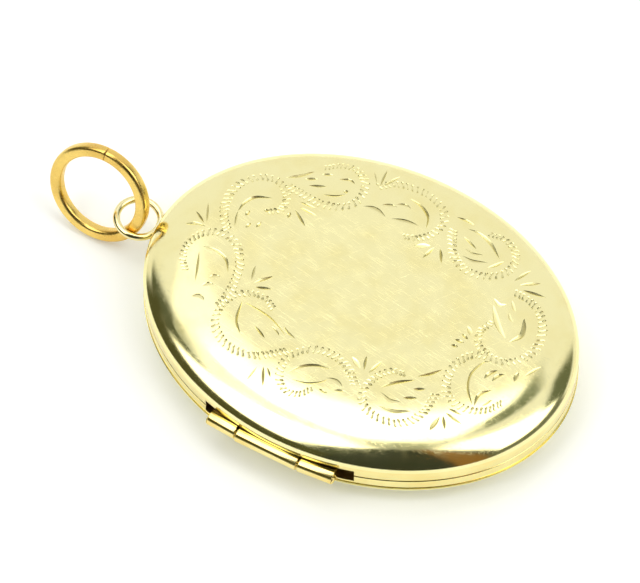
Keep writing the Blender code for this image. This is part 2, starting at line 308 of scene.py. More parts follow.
def gold_finish(name, bright, deep, roughness, scratches, pits=0.0, recess_shade=None, recess_shade_share=0.6):
    """A worn polished metal: colour drift between two golds, uneven polish and hairline scratches.

    Recess shade is a painted shade colour: it darkens the base colour wherever the mesh carries a depth in
    "valley".
    """
    material, tree, shader, place = new_material(name)
    shader.inputs["Metallic"].default_value = 1.0
    mix = add_node(tree, "ShaderNodeMix", data_type="RGBA")
    mix.inputs["A"].default_value = (*bright, 1.0)
    mix.inputs["B"].default_value = (*deep, 1.0)
    slow = stretched_noise(tree, place, (0.35, 0.35, 0.35), 0.0, 3.0)
    tree.links.new(remap(tree, slow, 0.35, 0.75, 0.0, 1.0), mix.inputs["Factor"])
    colour = mix.outputs["Result"]
    # Painted shade: the base colour is pulled towards the shade colour by the depth in "valley".
    if recess_shade:
        recess_shade_mix = add_node(tree, "ShaderNodeMix", data_type="RGBA")
        recess_shade_mix.inputs["B"].default_value = (*recess_shade, 1.0)
        depth = add_node(tree, "ShaderNodeAttribute", attribute_name="valley").outputs["Fac"]
        tree.links.new(remap(tree, depth, 0.006, 0.045, 0.0, recess_shade_share), recess_shade_mix.inputs["Factor"])
        tree.links.new(colour, recess_shade_mix.inputs["A"])
        colour = recess_shade_mix.outputs["Result"]
    tree.links.new(colour, shader.inputs["Base Color"])
    patches = stretched_noise(tree, place, (1.3, 0.9, 1.3), 25.0, 4.0)
    dull = remap(tree, patches, 0.3, 0.75, *roughness)
    if recess_shade:
        dull = blend_sum(tree, dull, remap(tree, depth, 0.004, 0.03, 0.0, 0.25))
    tree.links.new(dull, shader.inputs["Roughness"])
    along = stretched_noise(tree, place, (14.0, 0.5, 14.0), 8.0)
    across = stretched_noise(tree, place, (0.7, 16.0, 16.0), 35.0)
    lines = blend_sum(tree, remap(tree, along, 0.60, 0.72, 0.0, 1.0),
                      remap(tree, across, 0.66, 0.76, 0.0, 0.8))
    if pits:
        specks = stretched_noise(tree, place, (6.0, 6.0, 6.0), 0.0, 1.0)
        lines = blend_sum(tree, lines, remap(tree, specks, 0.70, 0.78, 0.0, pits))
    bump = add_node(tree, "ShaderNodeBump", Strength=scratches, Distance=0.02 * MM, invert=True)
    tree.links.new(lines, bump.inputs["Height"])
    tree.links.new(bump.outputs["Normal"], shader.inputs["Normal"])
    return material


# %% [markdown]
# The case, the hinge, the eyelet and the bail ring were bought from different suppliers, and it shows:
# the face is a pale lemon gold, the hinge tube is warmer, and the ring is a deep yellow gold with a satin
# wear.

# %% The golds
# The face's shade colour is painted shade at the bottoms of the engraved cuts.
FACE_GOLD = gold_finish("face_gold", (0.95, 0.88, 0.47), (0.92, 0.83, 0.40), (0.08, 0.16), 0.07,
                        recess_shade=(0.52, 0.46, 0.20))
# The band's dark shade colour is painted shade on the walls of the hinge seat.
BAND_GOLD = gold_finish("band_gold", (0.95, 0.83, 0.38), (0.90, 0.75, 0.30), (0.10, 0.18), 0.05,
                        recess_shade=(0.20, 0.12, 0.04), recess_shade_share=0.9)
HINGE_GOLD = gold_finish("hinge_gold", (0.94, 0.81, 0.36), (0.88, 0.69, 0.24), (0.12, 0.20), 0.06)
EYELET_GOLD = gold_finish("eyelet_gold", (0.92, 0.82, 0.46), (0.84, 0.72, 0.36), (0.12, 0.22), 0.06)
RING_GOLD = gold_finish("ring_gold", (0.89, 0.64, 0.18), (0.76, 0.48, 0.11), (0.20, 0.32), 0.14, pits=0.6)
INSIDE_GOLD = gold_finish("inside_gold", (0.93, 0.82, 0.44), (0.86, 0.72, 0.34), (0.14, 0.26), 0.06)
print("golds:", [m.name for m in bpy.data.materials if m.name.endswith("gold")])

# %% [markdown]
# ## The engraving
# A hand engraver pushes a sharp square tool through the gold. Every cut is a little valley with two
# bright walls and a line at the bottom. Here a cut is a path with a width and a depth that swell and die
# out, and a lean that puts the bottom nearer one side, as when the tool is rolled over for a bright cut.

# %% One cut of the graver


def smooth_path(points, steps):
    """A smooth curve through given points, walked in equal steps."""
    knots = [Vector(point) for point in points]
    if len(knots) == 2:
        return [knots[0].lerp(knots[1], i / steps) for i in range(steps + 1)]
    knots = [2 * knots[0] - knots[1]] + knots + [2 * knots[-1] - knots[-2]]
    dense = []
    for p0, p1, p2, p3 in zip(knots, knots[1:], knots[2:], knots[3:]):
        for i in range(12):
            t = i / 12.0
            dense.append(0.5 * (2 * p1 + (p2 - p0) * t + (2 * p0 - 5 * p1 + 4 * p2 - p3) * t * t
                                + (3 * p1 - p0 - 3 * p2 + p3) * t ** 3))
    dense.append(knots[-2])
    lengths = [0.0]
    for a, b in zip(dense, dense[1:]):
        lengths.append(lengths[-1] + (b - a).length)
    walked = []
    spot = 0
    for i in range(steps + 1):
        goal = lengths[-1] * i / steps
        while spot < len(dense) - 2 and lengths[spot + 1] < goal:
            spot += 1
        part = (goal - lengths[spot]) / max(lengths[spot + 1] - lengths[spot], 1e-9)
        walked.append(dense[spot].lerp(dense[spot + 1], part))
    return walked


def path_length(points):
    dense = smooth_path(points, 24)
    return sum((b - a).length for a, b in zip(dense, dense[1:]))


def side_of(path, i):
    """Unit vector to the left of the path at one of its points."""
    ahead = path[min(i + 1, len(path) - 1)] - path[max(i - 1, 0)]
    return Vector((-ahead.y, ahead.x)).normalized()


CUT_DEPTH = 0.70


class Cut:
    """A valley along a path: half widths, depths and where its bottom lies, -1 right to 1 left."""

    def __init__(self, path, halves, depths, lean):
        self.path, self.halves, self.lean = path, halves, lean
        self.depths = [depth * CUT_DEPTH for depth in depths]
        self.sides = [side_of(path, i) for i in range(len(path))]
        reach = max(halves)
        self.low = (min(p.x for p in path) - reach, min(p.y for p in path) - reach)
        self.high = (max(p.x for p in path) + reach, max(p.y for p in path) + reach)

    def outline(self):
        left = [p + s * h for p, s, h in zip(self.path, self.sides, self.halves)]
        right = [p - s * h for p, s, h in zip(self.path, self.sides, self.halves)]
        return left + right[-2:0:-1]

    def bottom(self):
        return [p + s * h * self.lean for p, s, h in zip(self.path, self.sides, self.halves)]

    def depth_at(self, spot):
        """Depth of the valley under a point, 0 outside it."""
        if not (self.low[0] <= spot.x <= self.high[0] and self.low[1] <= spot.y <= self.high[1]):
            return 0.0
        best = None
        for i in range(len(self.path) - 1):
            a, b = self.path[i], self.path[i + 1]
            run = b - a
            t = min(max((spot - a).dot(run) / run.length_squared, 0.0), 1.0)
            away = (spot - a.lerp(b, t)).length
            if best is None or away < best[0]:
                best = (away, i, t)
        _, i, t = best
        half = self.halves[i] * (1 - t) + self.halves[i + 1] * t
        deep = self.depths[i] * (1 - t) + self.depths[i + 1] * t
        side = self.sides[i].lerp(self.sides[i + 1], t)
        across = (spot - self.path[i].lerp(self.path[i + 1], t)).dot(side)
        if half <= 1e-6 or abs(across) >= half:
            return 0.0
        low_line = self.lean * half
        if across < low_line:
            return deep * (across + half) / (low_line + half)
        return deep * (half - across) / (half - low_line)


def leaf_cut(points, width, depth, lean=0.0, front=0.5):
    """A cut that swells to its width part of the way along and dies out at both ends."""
    steps = max(6, int(path_length(points) / 0.22))
    path = smooth_path(points, steps)
    bend = math.log(0.5) / math.log(front)
    swell = [math.sin(math.pi * (i / steps) ** bend) ** 0.8 for i in range(steps + 1)]
    swell[0] = swell[-1] = 0.0
    return Cut(path, [0.5 * width * s for s in swell], [depth * s for s in swell], lean)


TOOTH_SWELL = (0.0, 1.0, 0.62, 1.0, 0.0)
TOOTH_DEPTH = (0.0, 1.0, 0.45, 0.9, 0.0)
TOOTH_SPOTS = (0.0, 0.16, 0.5, 0.86, 1.0)


def tooth(inner, outer, width, depth):
    """A short rocked stroke, deep and wide at both ends."""
    path = [inner.lerp(outer, spot) for spot in TOOTH_SPOTS]
    return Cut(path, [0.5 * width * s for s in TOOTH_SWELL], [depth * s for s in TOOTH_DEPTH], 0.0)


print("a graver's cut is ready")

# %% [markdown]
# The border is ten comma scrolls in a ring. They turn in and out by turns, and each one is a ribbon of
# short rocked strokes: it starts as a small curl at its open side, goes over its back, round its closed
# side and runs into the next. A stroke leans a little, and the strokes stand closer where the ribbon is
# tight.

# %% The ten scrolls
SCROLLS = [
    [(-3.9, 12.3), (-3.2, 12.9), (-2.2, 13.25), (-1.0, 13.0), (-0.2, 12.2), (0.05, 11.1), (-0.4, 10.0),
     (-1.5, 9.15), (-3.0, 8.65), (-4.5, 8.5), (-5.6, 8.6)],
    [(-3.75, 5.1), (-3.3, 5.9), (-3.4, 7.0), (-4.1, 8.0), (-5.4, 8.4), (-6.8, 8.1), (-7.8, 7.0), (-8.15, 5.6),
     (-7.9, 4.3), (-7.2, 3.2), (-6.4, 2.4)],
    [(-8.3, -0.7), (-9.1, -0.2), (-9.35, 0.7), (-8.8, 1.6), (-7.8, 2.05), (-6.7, 2.0), (-5.7, 1.3),
     (-5.15, 0.2), (-5.15, -1.1), (-5.7, -2.4), (-6.5, -3.3)],
    [(-3.95, -5.8), (-4.2, -4.9), (-5.2, -4.2), (-6.6, -4.0), (-7.7, -4.7), (-8.05, -6.0), (-7.75, -7.4),
     (-6.9, -8.3), (-5.6, -8.65), (-4.2, -8.6)],
    [(-2.6, -12.95), (-3.6, -12.4), (-4.25, -11.3), (-4.25, -10.0), (-3.5, -9.0), (-2.2, -8.55),
     (-0.9, -8.75), (0.0, -9.4), (0.35, -10.4)],
    [(3.0, -9.1), (2.0, -8.75), (1.0, -9.1), (0.4, -10.2), (0.5, -11.5), (1.3, -12.4), (2.7, -12.85),
     (4.3, -12.5), (5.5, -11.6), (6.05, -10.4), (6.1, -9.2)],
    [(9.7, -5.2), (9.95, -6.3), (9.4, -7.4), (8.3, -7.95), (7.1, -7.7), (6.25, -6.7), (6.0, -5.4),
     (6.5, -4.1), (7.6, -3.2), (8.9, -2.6)],
    [(6.35, 0.0), (6.7, -0.9), (7.6, -1.65), (8.8, -1.85), (9.9, -1.1), (10.4, 0.1), (10.5, 1.5),
     (10.1, 2.9), (9.2, 3.9)],
    [(8.9, 8.0), (9.6, 7.2), (9.85, 6.1), (9.3, 5.0), (8.2, 4.5), (7.0, 4.6), (6.15, 5.5), (5.8, 6.9),
     (5.9, 8.4), (6.05, 9.6)],
    [(3.3, 9.6), (3.9, 8.9), (4.9, 8.95), (5.8, 9.8), (6.05, 10.9), (5.5, 12.0), (4.2, 12.75), (2.7, 12.7),
     (1.4, 12.15), (0.5, 11.3)],
]
LEAF_ON_RIGHT = (True, False, True, False, True, False, True, False, True, False)
RIBBON = 0.72
STROKE_LEAN = 0.20
STROKE_SPACING = 0.30
SPACING_SWELL = 0.12
TRACK_STEPS = 200


def scroll_teeth(points, leaf_on_right, luck):
    """Rocked strokes along one scroll."""
    length = path_length(points)
    track = smooth_path(points, TRACK_STEPS)
    strokes = []
    walked = 0.0
    while walked < length:
        share = walked / length
        i = min(int(share * TRACK_STEPS), TRACK_STEPS - 1)
        ahead = (track[i + 1] - track[i]).normalized()
        out = Vector((-ahead.y, ahead.x)) * (1.0 if leaf_on_right else -1.0)
        growth = 0.72 + 0.28 * math.sin(math.pi * min(share * 1.6, 1.0) * 0.5)
        size = RIBBON * growth * luck.uniform(0.92, 1.06)
        middle = track[i] + out * luck.uniform(-0.02, 0.02)
        lean = ahead * size * STROKE_LEAN
        strokes.append(tooth(middle - out * size * 0.5 - lean, middle + out * size * 0.5 + lean,
                             luck.uniform(0.20, 0.25), luck.uniform(0.065, 0.085)))
        walked += STROKE_SPACING + SPACING_SWELL * math.sin(math.pi * share) + luck.uniform(-0.02, 0.02)
    return strokes


luck = random.Random(7)
ribbon_cuts = [stroke for points, right in zip(SCROLLS, LEAF_ON_RIGHT)
               for stroke in scroll_teeth(points, right, luck)]
print(f"{len(ribbon_cuts)} rocked strokes in {len(SCROLLS)} scrolls")

# %% [markdown]
# Inside each scroll lies a leaf: two long curved cuts for its edges and a few short ones for its veins.
# Between the scrolls, little sprigs of three or four flicks fill the corners. The widest cuts are rolled
# over so that one wall is broad and catches the light, which is what makes bright-cut work flash.

# %% Leaves and sprigs
# Each cut is its points, its width, its depth and its lean.
LEAVES = [
    ([(-4.5, 11.1), (-3.4, 11.55), (-2.1, 12.15)], 0.20, 0.10, 0.2),
    ([(-1.6, 12.2), (-1.45, 11.1), (-1.8, 10.1), (-2.7, 9.4)], 0.24, 0.12, -0.3),
    ([(-5.7, 10.7), (-5.4, 10.2), (-5.6, 9.7)], 0.34, 0.06, 0.6),
    ([(-4.6, 10.5), (-4.2, 10.15), (-4.1, 9.8)], 0.34, 0.06, 0.6),
    ([(-3.7, 10.4), (-3.4, 10.05), (-3.3, 9.7)], 0.34, 0.06, 0.6),
    ([(-6.8, 6.0), (-5.9, 6.85), (-4.3, 7.3)], 0.22, 0.13, 0.0),
    ([(-4.3, 7.1), (-4.4, 5.6), (-4.7, 4.4), (-5.4, 3.0)], 0.14, 0.08, 0.4),
    ([(-5.7, 5.45), (-5.95, 4.9), (-6.25, 4.3)], 0.20, 0.12, 0.0),
    ([(-5.1, 4.4), (-5.3, 3.9), (-5.55, 3.5)], 0.15, 0.07, 0.0),
    ([(-4.7, 3.6), (-5.0, 3.1), (-5.2, 2.4)], 0.17, 0.09, 0.0),
    ([(-7.85, 1.4), (-6.95, 0.75), (-6.4, -0.1), (-6.2, -1.1)], 0.24, 0.14, 0.0),
    ([(-8.3, 0.9), (-8.1, -0.1), (-7.6, -0.9), (-7.0, -1.4)], 0.14, 0.06, 0.0),
    ([(-7.0, -1.2), (-6.9, -1.9), (-7.1, -2.6)], 0.38, 0.07, 0.7),
    ([(-8.05, -1.2), (-8.1, -1.9)], 0.22, 0.10, 0.0),
    ([(-7.6, -2.2), (-7.3, -2.9)], 0.20, 0.08, 0.0),
    ([(-5.75, -4.95), (-4.9, -5.65), (-4.0, -6.75)], 0.28, 0.14, 0.2),
    ([(-3.65, -6.75), (-3.0, -7.45), (-2.25, -8.0)], 0.24, 0.13, 0.2),
    ([(-7.2, -5.6), (-7.05, -6.7), (-6.45, -7.75)], 0.30, 0.12, -0.4),
    ([(-6.1, -5.1), (-6.4, -6.0), (-6.1, -6.9)], 0.30, 0.06, 0.7),
    ([(-5.75, -6.75), (-5.25, -7.65)], 0.26, 0.13, 0.0),
    ([(-4.75, -7.0), (-4.3, -7.8)], 0.26, 0.13, 0.0),
    ([(-3.8, -11.3), (-2.8, -10.4), (-1.6, -9.95), (-0.3, -10.2), (0.05, -10.7)], 0.22, 0.12, 0.2),
    ([(-3.8, -11.45), (-2.8, -11.3), (-2.0, -11.9)], 0.28, 0.13, 0.0),
    ([(-1.45, -10.95), (-0.9, -11.05), (-0.35, -11.45)], 0.34, 0.14, 0.0),
    ([(-1.35, -11.55), (-0.8, -11.65), (-0.4, -12.0)], 0.32, 0.13, 0.0),
    ([(-3.5, -11.9), (-2.7, -12.3)], 0.22, 0.10, 0.0),
    ([(2.15, -10.95), (3.2, -11.45), (4.5, -10.9)], 0.40, 0.15, -0.2),
    ([(2.3, -10.6), (3.1, -9.5), (4.4, -8.4)], 0.44, 0.09, 0.7),
    ([(4.9, -9.2), (4.6, -8.8), (4.9, -8.2)], 0.30, 0.07, 0.6),
    ([(4.7, -10.1), (4.9, -9.8), (5.4, -9.4)], 0.26, 0.07, 0.5),
    ([(3.8, -10.4), (4.0, -10.0), (4.4, -9.7)], 0.22, 0.07, 0.5),
    ([(7.0, -6.5), (7.5, -6.9), (8.1, -7.2)], 0.26, 0.13, 0.0),
    ([(8.15, -6.8), (8.95, -5.7), (9.35, -4.6), (9.3, -3.6)], 0.26, 0.14, 0.2),
    ([(8.5, -3.7), (8.25, -4.4), (8.0, -5.0)], 0.18, 0.10, 0.0),
    ([(6.95, -4.4), (6.9, -5.3), (7.35, -6.3)], 0.34, 0.07, 0.7),
    ([(7.6, -4.3), (7.5, -5.0), (7.8, -5.7)], 0.24, 0.06, 0.6),
    ([(9.8, -2.4), (9.9, -3.1), (9.85, -3.8)], 0.22, 0.11, 0.0),
    ([(7.7, -1.0), (8.7, -0.6), (9.3, 0.3), (9.5, 1.3)], 0.24, 0.14, 0.0),
    ([(7.15, 3.9), (7.35, 3.0), (7.1, 2.0)], 0.42, 0.08, 0.7),
    ([(7.2, 1.6), (7.5, 0.6), (7.65, -0.4)], 0.38, 0.08, 0.7),
    ([(7.9, 2.8), (8.2, 2.2), (8.3, 1.7)], 0.32, 0.07, 0.6),
    ([(8.5, 1.9), (8.75, 1.3), (8.7, 0.8)], 0.30, 0.07, 0.6),
    ([(6.65, 10.0), (7.3, 9.2), (8.15, 8.5)], 0.26, 0.14, 0.0),
    ([(7.2, 8.75), (7.65, 7.95)], 0.24, 0.12, 0.0),
    ([(6.8, 8.2), (7.35, 7.05)], 0.22, 0.12, 0.0),
    ([(8.2, 7.9), (8.55, 7.2)], 0.22, 0.11, 0.0),
    ([(6.6, 6.9), (6.9, 6.1), (7.4, 5.5)], 0.18, 0.07, 0.4),
    ([(7.5, 5.75), (7.8, 5.5)], 0.30, 0.14, 0.0),
    ([(8.4, 6.6), (8.75, 5.9), (8.6, 5.4)], 0.20, 0.11, 0.0),
    ([(2.25, 11.5), (3.2, 11.45), (4.0, 11.0), (4.5, 9.9)], 0.26, 0.15, 0.0),
    ([(2.2, 10.85), (2.75, 10.75)], 0.28, 0.13, 0.0),
    ([(1.3, 10.3), (1.85, 10.15)], 0.26, 0.12, 0.0),
    ([(1.7, 9.65), (2.3, 9.55)], 0.24, 0.11, 0.0),
    ([(3.25, 9.9), (3.5, 9.55)], 0.28, 0.13, 0.0),
    ([(0.9, 11.0), (1.7, 11.3), (2.3, 11.5)], 0.16, 0.07, 0.0),
]
SPRIGS = [
    ([(-2.5, 7.6), (-1.2, 8.0)], 0.26, 0.10, 0.4), ([(-2.5, 7.35), (-1.35, 6.45)], 0.24, 0.13, 0.0),
    ([(-2.8, 7.1), (-2.35, 5.95)], 0.24, 0.13, 0.0), ([(-8.35, 3.2), (-9.8, 2.4)], 0.22, 0.11, 0.0),
    ([(-8.5, 3.6), (-9.9, 3.7)], 0.20, 0.08, 0.3), ([(-8.3, 2.9), (-8.9, 2.3)], 0.18, 0.08, 0.0),
    ([(-5.15, -3.2), (-3.95, -2.75)], 0.24, 0.12, 0.0), ([(-5.1, -3.6), (-3.8, -3.9)], 0.26, 0.13, 0.0),
    ([(-5.1, -2.9), (-4.5, -1.9)], 0.38, 0.08, 0.7), ([(-5.75, -9.75), (-7.1, -9.7)], 0.40, 0.15, 0.2),
    ([(-5.6, -9.95), (-6.5, -10.6)], 0.24, 0.11, 0.0), ([(-5.3, -10.0), (-5.5, -11.4)], 0.26, 0.12, 0.0),
    ([(-4.9, -10.0), (-4.85, -11.1)], 0.22, 0.10, 0.0), ([(0.0, -8.0), (-0.1, -7.5)], 0.26, 0.13, 0.0),
    ([(0.5, -8.2), (0.45, -7.5)], 0.26, 0.12, 0.0), ([(0.9, -8.3), (1.1, -7.7)], 0.24, 0.12, 0.0),
    ([(1.3, -8.4), (1.9, -7.7)], 0.34, 0.08, 0.6), ([(6.6, -2.3), (5.4, -2.05)], 0.26, 0.14, 0.0),
    ([(6.7, -2.75), (5.65, -3.45)], 0.26, 0.14, 0.0), ([(6.6, -2.0), (6.0, -1.0)], 0.40, 0.09, 0.7),
    ([(7.0, -8.7), (8.5, -9.2)], 0.24, 0.12, 0.0), ([(6.9, -9.2), (7.9, -10.35)], 0.26, 0.13, 0.0),
    ([(6.6, -9.6), (7.0, -11.25)], 0.26, 0.13, 0.0), ([(4.4, 7.95), (3.55, 6.65)], 0.22, 0.11, 0.0),
    ([(4.8, 7.8), (4.75, 6.4)], 0.18, 0.08, 0.0), ([(5.2, 8.0), (5.3, 6.8)], 0.18, 0.08, 0.0),
    ([(3.55, 8.1), (4.05, 8.15)], 0.30, 0.13, 0.0), ([(9.3, 3.75), (11.1, 4.1)], 0.22, 0.11, 0.0),
    ([(9.4, 3.6), (11.0, 3.0)], 0.22, 0.11, 0.0), ([(9.4, 4.0), (10.5, 4.9)], 0.18, 0.07, 0.0),
    ([(0.3, 12.95), (2.0, 13.8)], 0.24, 0.11, 0.0), ([(0.1, 13.2), (-0.4, 14.3)], 0.20, 0.09, 0.0),
    ([(0.25, 13.15), (0.9, 14.2)], 0.20, 0.09, 0.0), ([(0.0, 12.9), (0.0, 13.9)], 0.18, 0.08, 0.0),
    ([(-0.6, -12.9), (0.3, -12.75)], 0.34, 0.13, 0.0), ([(0.2, -13.3), (1.6, -13.9)], 0.26, 0.10, 0.0),
]
line_cuts = [leaf_cut(*cut) for cut in LEAVES + SPRIGS]
print(f"{len(LEAVES)} leaf cuts and {len(SPRIGS)} flicks")

# %% [markdown]
# Now the face itself. No operator knows how to engrave a dome, but there is a neat way round that: draw
# the plan flat, with the outline and the bottom line of every cut, let a triangulation keep all those
# lines as real edges, and only then lift each corner to the dome's height less the depth of the cuts
# there. The valleys get crisp lips and flat walls, and the polish between them stays smooth.

# %% Draw the plan and lift it
PLAN_CELL = 1.0
cuts = ribbon_cuts + line_cuts
cells = {}
for cut in cuts:
    for ix in range(math.floor(cut.low[0] / PLAN_CELL), math.floor(cut.high[0] / PLAN_CELL) + 1):
        for iy in range(math.floor(cut.low[1] / PLAN_CELL), math.floor(cut.high[1] / PLAN_CELL) + 1):
            cells.setdefault((ix, iy), []).append(cut)


def engraved_depth(x, y):
    """Depth of the deepest cut under a point of the plan."""
    near = cells.get((math.floor(x / PLAN_CELL), math.floor(y / PLAN_CELL)), ())
    spot = Vector((x, y))
    return max((cut.depth_at(spot) for cut in near), default=0.0)


plan_points = []
plan_lines = []


def draw_line(points, closed):
    first = len(plan_points)
    plan_points.extend(Vector(point[:2]) for point in points)
    last = len(plan_points) - 1
    plan_lines.extend((i, i + 1) for i in range(first, last))
    if closed:
        plan_lines.append((last, first))


def oval_points(inset, steps):
    bare = bmesh.new()
    verts = bmesh.ops.create_circle(bare, segments=steps, radius=1.0)["verts"]
    for vert in verts:
        put_on_oval(vert, math.atan2(vert.co.y, vert.co.x), inset, 0.0)
    points = [Vector(vert.co[:2]) for vert in verts]
    bare.free()
    return points


draw_line(oval_points(0.0, OVAL_STEPS), closed=True)
for cut in cuts:
    draw_line(cut.outline(), closed=True)
    draw_line(cut.bottom(), closed=False)
SHOULDER_RINGS = (0.02, 0.06, 0.13, 0.22, 0.34, 0.5, 0.7, 0.95, 1.25, 1.6, 2.0, 2.4, 2.8, 3.3, 3.8, 4.4,
                  5.1)
for inset in SHOULDER_RINGS:
    ring = oval_points(inset, OVAL_STEPS if inset < 2.0 else OVAL_STEPS // 2)
    plan_points.extend(point for point in ring if engraved_depth(point.x, point.y) == 0.0)
FACE_GRID = 0.9
steps = int(HALF_HEIGHT / FACE_GRID)
for iy in range(-steps, steps + 1):
    for ix in range(-steps, steps + 1):
        spot = Vector(((ix + 0.5 * (iy % 2)) * FACE_GRID, iy * FACE_GRID * 0.87))
        if edge_frame(*spot)[0] > 5.4 and abs(spot.x) < HALF_WIDTH and engraved_depth(*spot) == 0.0:
            plan_points.append(spot)
corners, _, triangles, *_ = delaunay_2d_cdt(plan_points, plan_lines, [], 0, 1e-5)
print(f"plan: {len(corners)} corners, {len(triangles)} triangles")

# %% [markdown]
# The lifted plan becomes a mesh. Its rim is then pulled down and in with edge extrusions, just like the
# other shells, to give the sheet its thickness and its smooth inner side. At the end the polished parts
# are told the true direction of the dome, so that reflections run across the triangles without a ripple.

# %% The engraved front
bm = bmesh.new()
turns = bm.verts.layers.float.new("turn")
valley = bm.verts.layers.float.new("valley")
lifted = []
for x, y in corners:
    depth = engraved_depth(x, y)
    lifted.append(bm.verts.new((x, y, FRONT_FOOT + dome_rise(edge_frame(x, y)[0]) - depth)))
    lifted[-1][valley] = depth
for triangle in triangles:
    bm.faces.new([lifted[i] for i in triangle])
bmesh.ops.recalc_face_normals(bm, faces=bm.faces)
rim = [edge for edge in bm.edges if edge.is_boundary]
for vert in {vert for edge in rim for vert in edge.verts}:
    vert[turns] = math.atan2(vert.co.y / HALF_HEIGHT, vert.co.x / HALF_WIDTH)
    vert.co.z = FRONT_FOOT
inner_reach = SHOULDER - SHEET
INNER_SHARES = (0.0, 0.01, 0.05, 0.12, 0.22, 0.35, 0.5, 0.7, 1.0)
inner_section = [(SHEET + inner_reach * s,
                  FRONT_FOOT + dome_rise(inner_reach * s, DOME - SHEET, inner_reach))
                 for s in INNER_SHARES]
for inset, z in inner_section:
    rim, verts = next_loop(bm, rim)
    for vert in verts:
        put_on_oval(vert, vert[turns], inset, z)
bmesh.ops.contextual_create(bm, geom=rim)
bmesh.ops.recalc_face_normals(bm, faces=bm.faces)
engraved_front = finish_piece(bm, "engraved_front", FACE_GOLD, "front_half", ["front_cover"],
                              corner=9.0)


def polish_face(piece):
    """Give the uncut dome its true normals and leave the cuts and the inner side as they are."""
    mesh = piece.data
    normals = []
    cache = {}
    for polygon in mesh.polygons:
        middle = polygon.center / MM
        polished = (polygon.normal.z > 0.02 and middle.z > FRONT_FOOT and
                    engraved_depth(middle.x, middle.y) < 0.004 and len(polygon.vertices) == 3)
        for loop in polygon.loop_indices:
            if not polished:
                normals.append(mesh.corner_normals[loop].vector.copy())
                continue
            index = mesh.loops[loop].vertex_index
            if index not in cache:
                corner = mesh.vertices[index].co / MM
                cache[index] = dome_normal(corner.x, corner.y)
            normals.append(cache[index])
    mesh.normals_split_custom_set(normals)
    return len(cache)


print("polished corners:", polish_face(engraved_front))

# %% [markdown]
# ## The back
# The back half is the same pressing without a picture on it. A section with the outer curve, the foot and
# the inner curve is carried round the oval and closed by a flat face at each end.

# %% The domed back
SHOULDER_SHARES = (0.0, 0.002, 0.008, 0.02, 0.04, 0.07, 0.11, 0.16, 0.22, 0.29, 0.37, 0.46, 0.56, 0.67,
                   0.8, 1.0)
back_outer = [(SHOULDER * s, BACK_FOOT - dome_rise(SHOULDER * s)) for s in SHOULDER_SHARES]
back_inner = [(SHEET + inner_reach * s, BACK_FOOT - dome_rise(inner_reach * s, DOME - SHEET, inner_reach))
              for s in SHOULDER_SHARES]
bm = sweep_oval(back_outer[::-1] + back_inner, closed=False)
domed_back = finish_piece(bm, "domed_back", FACE_GOLD, "back_half", ["back_cover"])

# %% [markdown]
# ## The two bands
# Each half has a flat band soldered round its foot, and the bands meet at the parting line. Their outer
# corners are rounded by polishing, so the section is a rectangle whose corners are bevelled before it
# travels round the oval. A slice cut out of both bands makes room for the hinge, and a round dimple in
# the front one takes the pip of the catch.

# %% Rounded sections and a cutting helper


def rounded_section(low, high, radius, segments=4):
    """Corners of a rectangle between two (inset, height) points, rounded with the bevel operator."""
    flat = bmesh.new()
    corners = [flat.verts.new((x, z, 0.0)) for x, z in
               ((low[0], low[1]), (high[0], low[1]), (high[0], high[1]), (low[0], high[1]))]
    flat.faces.new(corners)
    bmesh.ops.bevel(flat, geom=corners, offset=radius, offset_type="OFFSET", segments=segments,
                    profile=0.5, affect="VERTICES", material=-1)
    flat.faces.ensure_lookup_table()
    section = [(vert.co.x, vert.co.y) for vert in flat.faces[0].verts]
    flat.free()
    return section


def mesh_object(bm, name):
    mesh = bpy.data.meshes.new(name)
    bm.to_mesh(mesh)
    bm.free()
    made = bpy.data.objects.new(name, mesh)
    bpy.context.scene.collection.objects.link(made)
    return made


def combine(bm, tool_bm, operation):
    """Cut or join two closed shapes with a Boolean modifier and hand back the result."""
    body, tool = mesh_object(bm, "boolean_body"), mesh_object(tool_bm, "boolean_tool")
    modifier = body.modifiers.new("Combine", "BOOLEAN")
    modifier.operation, modifier.object, modifier.solver = operation, tool, "EXACT"
    result = bmesh.new()
    result.from_object(body, bpy.context.evaluated_depsgraph_get())
    for used in (body, tool):
        mesh = used.data
        bpy.data.objects.remove(used)
        bpy.data.meshes.remove(mesh)
    return result


def band_slice(insets, ends, heights, cuts=24):
    """A length of band on the hinge's side, between two insets, two ends along Y and two heights."""
    bm = box_mesh((0.0, 0.0, 0.0), (1.0, 1.0, 1.0))
    along = [edge for edge in bm.edges if abs(edge.verts[0].co.y - edge.verts[1].co.y) > 0.5]
    bmesh.ops.subdivide_edges(bm, edges=along, cuts=cuts)
    first, last = [math.pi - math.asin(end / HALF_HEIGHT) for end in ends]
    for vert in bm.verts:
        across, share, up = vert.co
        put_on_oval(vert, first + (last - first) * share, insets[0] + (insets[1] - insets[0]) * across,
                    heights[0] + (heights[1] - heights[0]) * up)
    bmesh.ops.recalc_face_normals(bm, faces=bm.faces)
    return bm


NOTCH_HALF_HEIGHT = 0.62
NOTCH_ENDS = (-6.2, 6.0)
NOTCH_INSETS = (-1.2, 0.60)
NOTCH_HEIGHTS = (PARTING - NOTCH_HALF_HEIGHT, PARTING + NOTCH_HALF_HEIGHT)
print(f"hinge seat {NOTCH_ENDS[1] - NOTCH_ENDS[0]:.1f} mm long, {2 * NOTCH_HALF_HEIGHT:.2f} mm high")

# %% The front and the back band
RIM_SETBACK = 0.06
RIM_THICKNESS = 0.70
BAND_CORNER = 0.12
# How much painted shade the seat walls get, given as a depth in "valley".
SEAT_SHADE_DEPTH = 0.1
PIP_RADIUS = 0.25
DIMPLE_GAP = 0.03
pip_low, pip_high = node_box("snap_pip")
pip_middle = Vector((pip_high.x - PIP_RADIUS, 0.0, (pip_low.z + pip_high.z) / 2.0))


def pip_ball(radius):
    """A small ball round the middle of the catch's pip."""
    bm = bmesh.new()
    bmesh.ops.create_uvsphere(bm, u_segments=32, v_segments=20, radius=radius)
    bmesh.ops.translate(bm, vec=pip_middle, verts=bm.verts)
    return bm


